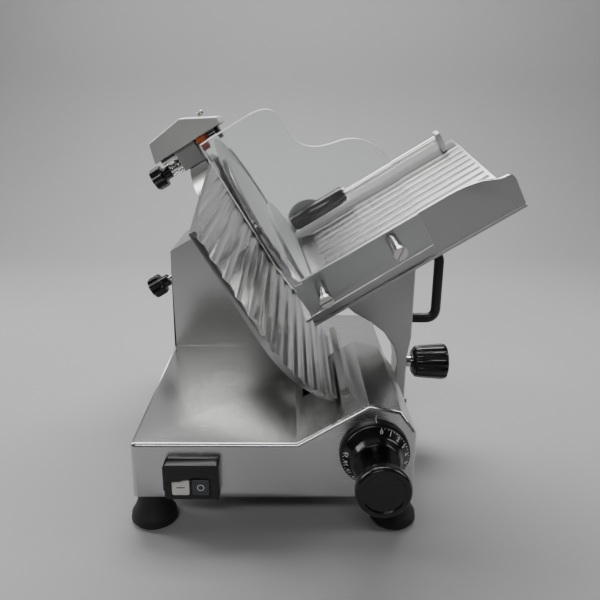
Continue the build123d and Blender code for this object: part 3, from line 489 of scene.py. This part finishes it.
def arm_lock():
    """The fluted knob that locks the carriage arm, and the chrome collar behind it."""
    start_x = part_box("arm_lock_knob")[0].x / MM - 1.0  # the CAD knob starts at height 1
    place = joint_place("arm_lock_turn")
    start = Vector((start_x * MM, place.y, place.z))
    grip = [
        (8, 0, 0), (8, 14.5, 0), (12, 19.5, 1.2), (20, 20.6, 1.9), (46, 22.6, 2.2),
        (50.5, 21.5, 1.2), (52, 18, 0), (51, 13, 0), (51, 0, 0),
    ]
    turning(
        "arm_lock_grip", black_gloss, "arm_lock", start, RIGHT, rounded(grip, 1.2),
        flutes=12, power=3, replaced=["arm_lock_knob"],
    )
    collar = [(1, 0, 0), (1, 7.5, 0), (7.9, 7.5, 0), (7.9, 0, 0)]
    turning("arm_lock_collar", chrome, "arm_lock", start, RIGHT, rounded(collar, 0.6))


def dial_knob():
    """The thickness dial: its ring with the scale, and its three-lobed grip."""
    ring = [
        (6.4, 0, 0), (6.4, 33, 0), (9, 33, 0), (16.5, 26, 0), (22, 23.5, 0), (25, 22, 0), (26, 14, 0),
        (26, 0, 0),
    ]
    turning(
        "dial_ring", black_gloss, "dial", dial_centre, OUT, rounded(ring, 1.2),
        replaced=["scale_dial"],
    )
    grip = [
        (25.5, 0, 0), (25.5, 14, 0), (30, 14.4, 0.6), (38, 16, 2.2), (48, 19, 3.6), (56, 22.5, 3.8),
        (60, 24.6, 1.6), (63, 26, 0), (70, 26, 0), (73, 24.3, 0), (73, 20, 0), (71.4, 19.2, 0),
        (71.4, 0, 0),
    ]
    turning(
        "dial_grip", black_gloss, "dial", dial_centre, OUT, rounded(grip, 1.4),
        flutes=3, phase=radians(30), replaced=["dial_knob"],
    )


def cover_knob():
    """The knob at the middle of the blade cover."""
    grip = [
        (64, 0, 0), (64, 13, 1.5), (66, 14.6, 2.6), (80, 14.6, 2.6), (82, 13, 1), (82, 8, 0),
        (92, 8, 0), (92, 0, 0),
    ]
    turning(
        "cover_grip", black_gloss, "cover_release",
        axis_point("cover_knob_turn", ORIGIN_SHIFT), ACROSS, rounded(grip, 0.9),
        flutes=8, power=1.5, replaced=["cover_knob"],
    )


def sharpener_knobs():
    """The knob on the sharpener, its chrome sleeve, and the knurled screw on the hood."""
    origin = axis_point("sharpener_knob_turn", ORIGIN_SHIFT)
    grip = [
        (150, 0, 0), (150, 13.2, 1.8), (152, 14.8, 3), (164, 14.8, 3), (166, 13.2, 1), (166, 8, 0),
        (176, 8, 0), (176, 4, 0), (207, 4, 0), (207, 0, 0),
    ]
    turning(
        "sharpener_grip", black_gloss, "sharpener_knob", origin, ACROSS,
        rounded(grip, 0.9), flutes=7, power=1.5, replaced=["sharpener_knob"],
    )
    sleeve = [
        (177, 4.3, 0), (177, 8.2, 0), (180, 8.2, 0), (180, 6.6, 0), (187, 6.6, 0), (187, 9.4, 0),
        (190, 9.4, 0), (190, 8, 0), (192, 8, 0), (192, 10, 0), (196.5, 10, 0), (196.5, 4.3, 0),
        (177, 4.3, 0),
    ]
    turning("sharpener_sleeve", chrome, "base", origin, ACROSS, sleeve)

    low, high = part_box("hood_screw")
    screw = [(-3.5, 0, 0), (-3.5, 4.4, 0), (-2, 5, 0.5), (2.6, 5, 0.5), (3.5, 4.2, 0), (3.5, 0, 0)]
    turning(
        "hood_thumbscrew", screw_metal, "base", (low + high) / 2, FACE_UP,
        rounded(screw, 0.5), flutes=20, replaced=["hood_screw"],
    )


def pusher_handle():
    """The black sleeve that slides the food pusher along its rod."""
    low, high = -34.0, 39.6
    bore, grip_radius = 6.2, 10.4
    profile = [
        (low, bore, 0), (low, 8.6, 0), (low + 5, grip_radius, 0), (high - 2, grip_radius, 0),
        (high, 8.8, 0), (high, bore, 0), (low, bore, 0),
    ]
    turning(
        "pusher_handle", black_gloss, "pusher", joint_place("pusher_swing"), ACROSS,
        profile, replaced=["pusher_grip"],
    )


def handle_bar():
    """The D-shaped handle of the carriage, a round bar bent at two corners."""
    low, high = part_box("carriage_handle")
    bar_radius = 6 * MM
    bend_radius = 13 * MM
    middle = (low.y + high.y) / 2
    outer = high.x - bar_radius
    corners = [
        (low.x, middle, low.z + bar_radius),
        (outer, middle, low.z + bar_radius),
        (outer, middle, high.z - bar_radius),
        (low.x, middle, high.z - bar_radius),
    ]
    path = rounded(corners, bend_radius, 8)
    curve = bpy.data.curves.new("bar_path", "CURVE")
    curve.dimensions = "3D"
    curve.bevel_depth = bar_radius
    curve.bevel_resolution = 8
    curve.use_fill_caps = True
    spline = curve.splines.new("POLY")
    spline.points.add(len(path) - 1)
    for point, place in zip(spline.points, path):
        point.co = (*place, 1)
    mesh = mesh_of(curve)
    shade(mesh)
    piece("handle_bar", mesh, black_satin, "carriage", ["carriage_handle"])


arm_lock()
dial_knob()
cover_knob()
sharpener_knobs()
pusher_handle()
handle_bar()

# ---- marks on the dial, in mm and degrees ----
DIAL_TILT = radians(45)
NUMBERS = 16
TICKS_PER_NUMBER = 3
FIRST_TURN, NUMBER_STEP = 8.0, 18.0  # clockwise from the top
LONG_TICK, SHORT_TICK = 2.2, 1.3
TICK_WIDTH, TICK_THICKNESS = 0.5, 0.3
TICK_REACH, TICK_OUT = 32.3, 9.9  # the ticks' outer ends: from the axis, and along it
TICK_DRAW = 0.35  # share of a tick's length from its end to its middle, along each of the two
NUMBER_REACH, NUMBER_OUT = 29.2, 13.0
NUMBER_SIZE, NUMBER_WEIGHT, NUMBER_THICKNESS = 6.0, 0.07, 0.15
INDEX_WIDTH = 0.8
INDEX_HEIGHT, FLANGE_INDEX_HEIGHT = 37.8, 34.9  # above the dial's axis


def dial_matrix(turn, reach, out):
    """A place on the dial's cone: turn in degrees clockwise from the top, Z square to the cone."""
    outward = UP * cos(radians(turn)) + RIGHT * sin(radians(turn))
    sideways = RIGHT * cos(radians(turn)) - UP * sin(radians(turn))
    upward = outward * cos(DIAL_TILT) + AWAY * sin(DIAL_TILT)
    place = dial_centre + outward * (reach * MM) + OUT * (out * MM)
    return matrix_from(place, sideways, upward)


def bar_outline(width, height):
    """A rectangle about the origin."""
    x, y = width / 2, height / 2
    return [(-x, -y), (x, -y), (x, y), (-x, y)]


def dial_ticks():
    """A tick at each number and two short ones between numbers."""
    for tick in range((NUMBERS - 1) * TICKS_PER_NUMBER + 1):
        length = LONG_TICK if tick % TICKS_PER_NUMBER == 0 else SHORT_TICK
        turn = FIRST_TURN + tick * NUMBER_STEP / TICKS_PER_NUMBER
        matrix = dial_matrix(turn, TICK_REACH - length * TICK_DRAW, TICK_OUT + length * TICK_DRAW)
        plate(
            f"dial_tick_{tick:02d}", mark_white, "dial",
            bar_outline(TICK_WIDTH, length), TICK_THICKNESS, matrix, 0.05,
        )


def dial_numbers():
    """The numbers round the dial."""
    for number in range(NUMBERS):
        text = bpy.data.curves.new("number", "FONT")
        text.body = str(number)
        text.size = NUMBER_SIZE * MM
        text.offset = NUMBER_WEIGHT * MM
        text.extrude = NUMBER_THICKNESS * MM
        text.align_x = "CENTER"
        text.align_y = "CENTER"
        mesh = mesh_of(text)
        mesh.transform(dial_matrix(FIRST_TURN + number * NUMBER_STEP, NUMBER_REACH, NUMBER_OUT))
        piece(f"dial_number_{number:02d}", mesh, mark_white, "dial")


def dial_indexes():
    """The fixed marks above the dial: one on the base, and one on the flange's rim."""
    on_base = dial_centre + UP * (INDEX_HEIGHT * MM)
    plate(
        "dial_index", mark_white, "base", bar_outline(INDEX_WIDTH, 5.5), 0.4,
        matrix_from(on_base, RIGHT, UP), 0.1,
    )
    on_rim = dial_centre + UP * (FLANGE_INDEX_HEIGHT * MM) + OUT * (3 * MM)
    plate(
        "dial_flange_index", mark_white, "base", bar_outline(INDEX_WIDTH, 5), 0.3,
        matrix_from(on_rim, RIGHT, AWAY), 0.1,
    )


dial_ticks()
dial_numbers()
dial_indexes()


# ---- switch ----
def switch_lip():
    """The raised lip along the top of the switch frame, with its wavy lower edge."""
    low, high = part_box("switch_frame")
    width = (high.x - low.x) / MM
    outline = [
        (0, 0), (0, -15), (2.6, -17), (4, -6), (16, -5.4), (22, -3), (30, -1.2), (40, -1.6),
        (47.5, -3.4), (48.5, -25), (width, -26), (width, 0),
    ]
    below_top, behind_front, thickness = 13, 1.6, 1.5
    origin = Vector((low.x, low.y + behind_front * MM, high.z - below_top * MM))
    plate(
        "switch_lip", black_gloss, "base", outline, thickness,
        matrix_from(origin, RIGHT, UP), 0.4,
    )


def button_front(button, sunk=0.0):
    """Middle of a button's front face, sunk into it by a distance in mm."""
    low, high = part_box(button)
    return Vector(((low.x + high.x) / 2, low.y + sunk * MM, (low.z + high.z) / 2))


def button_marks():
    """A bar on the button that starts the blade, and a ring on the one that stops it."""
    plate(
        "on_mark", mark_black, "on_button", bar_outline(8.2, 1.0), 0.3,
        matrix_from(button_front("on_button", 0.15), RIGHT, UP), 0.1,
    )
    inner, outer, half = 2.7, 3.5, 0.15
    ring = [(-half, inner, 0), (half, inner, 0), (half, outer, 0), (-half, outer, 0), (-half, inner, 0)]
    turning(
        "off_mark", mark_white, "off_button", button_front("off_button"), OUT, ring,
        around=48,
    )


switch_lip()
button_marks()

# ---- stage, lights and camera, in metres ----
floor_grey = finish("floor_grey", (0.40, 0.40, 0.405), OTHER, 0.6, 300, EVEN, 3, 0.02, 0.05, 0.05)
WALL_FAR, BEND, SIDE, TALL, NEAR = 1.5, 0.5, 5.0, 3.5, -3.0
BEND_STEPS = 16


def stage_sweep():
    """A floor that bends up into a wall behind the slicer."""
    sweep = [Vector((0, NEAR, 0)), Vector((0, WALL_FAR - BEND, 0))]
    for step in range(1, BEND_STEPS + 1):
        angle = pi / 2 * step / BEND_STEPS
        sweep.append(Vector((0, WALL_FAR - BEND + BEND * sin(angle), BEND - BEND * cos(angle))))
    sweep.append(Vector((0, WALL_FAR, TALL)))
    points = [(side, point.y, point.z) for point in sweep for side in (-SIDE, SIDE)]
    faces = [(2 * row, 2 * row + 1, 2 * row + 3, 2 * row + 2) for row in range(len(sweep) - 1)]
    mesh = bpy.data.meshes.new("stage")
    mesh.from_pydata(points, [], faces)
    shade(mesh, 60)
    mesh.materials.append(floor_grey)
    stage = bpy.data.objects.new("stage_floor", mesh)
    bpy.context.scene.collection.objects.link(stage)


def studio_world():
    """A faint, slightly blue light from all round."""
    world = bpy.data.worlds.new("studio")
    bpy.context.scene.world = world
    world.use_nodes = True
    background = world.node_tree.nodes["Background"]
    background.inputs["Color"].default_value = (0.78, 0.80, 0.84, 1)
    background.inputs["Strength"].default_value = 0.05


# name, place, aimed at, size, watts
LAMPS = [
    ("overhead", (0.0, 0.55, 1.45), (0, 0.1, 0.1), (1.3, 0.6), 26),
    ("left_panel", (-1.2, 0.3, 0.9), (0, 0.1, 0.2), (0.3, 1.0), 9),
    ("right_panel", (1.3, -0.1, 0.9), (0, 0.1, 0.2), (0.25, 0.9), 5),
    ("front_strip", (-0.3, -1.5, 1.3), (0, 0, 0.2), (0.9, 0.2), 8),
    ("wall_wash", (0.0, 0.9, 1.6), (0, 1.5, 0.6), (2.4, 0.2), 9),
]


def lamp(name, place, target, size, power):
    """A rectangular lamp aimed at a point."""
    light = bpy.data.lights.new(name, "AREA")
    light.shape = "RECTANGLE"
    light.size, light.size_y = size
    light.energy = power
    thing = bpy.data.objects.new(name, light)
    thing.location = place
    thing.rotation_euler = (Vector(target) - Vector(place)).to_track_quat("-Z", "Y").to_euler()
    bpy.context.scene.collection.objects.link(thing)


SENSOR_WIDTH, LENS = 36, 39  # mm
PITCH, YAW, ROLL = 0.300, 0.018, 0.012  # radians: gaze down, gaze to the right, right side raised
EYE_RIGHT, EYE_NEARER, EYE_HEIGHT = 156.8, 572.5, 425  # mm, from the base's left and front faces


def main_camera():
    """The camera in front of the slicer, a little above it."""
    data = bpy.data.cameras.new("camera")
    data.sensor_width = SENSOR_WIDTH
    data.lens = LENS
    camera = bpy.data.objects.new("camera", data)
    bpy.context.scene.collection.objects.link(camera)
    bpy.context.scene.camera = camera
    gaze = Vector((sin(YAW) * cos(PITCH), cos(YAW) * cos(PITCH), -sin(PITCH)))
    level_right = gaze.cross(UP).normalized()
    level_up = level_right.cross(gaze)
    right = level_right * cos(ROLL) + level_up * sin(ROLL)
    up = level_up * cos(ROLL) - level_right * sin(ROLL)
    base_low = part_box("base_body")[0]
    eye = Vector((base_low.x + EYE_RIGHT * MM, base_low.y - EYE_NEARER * MM, EYE_HEIGHT * MM))
    turn = Matrix((right, up, -gaze)).transposed().to_4x4()
    camera.matrix_world = Matrix.Translation(eye) @ turn


stage_sweep()
studio_world()
for row in LAMPS:
    lamp(*row)
main_camera()
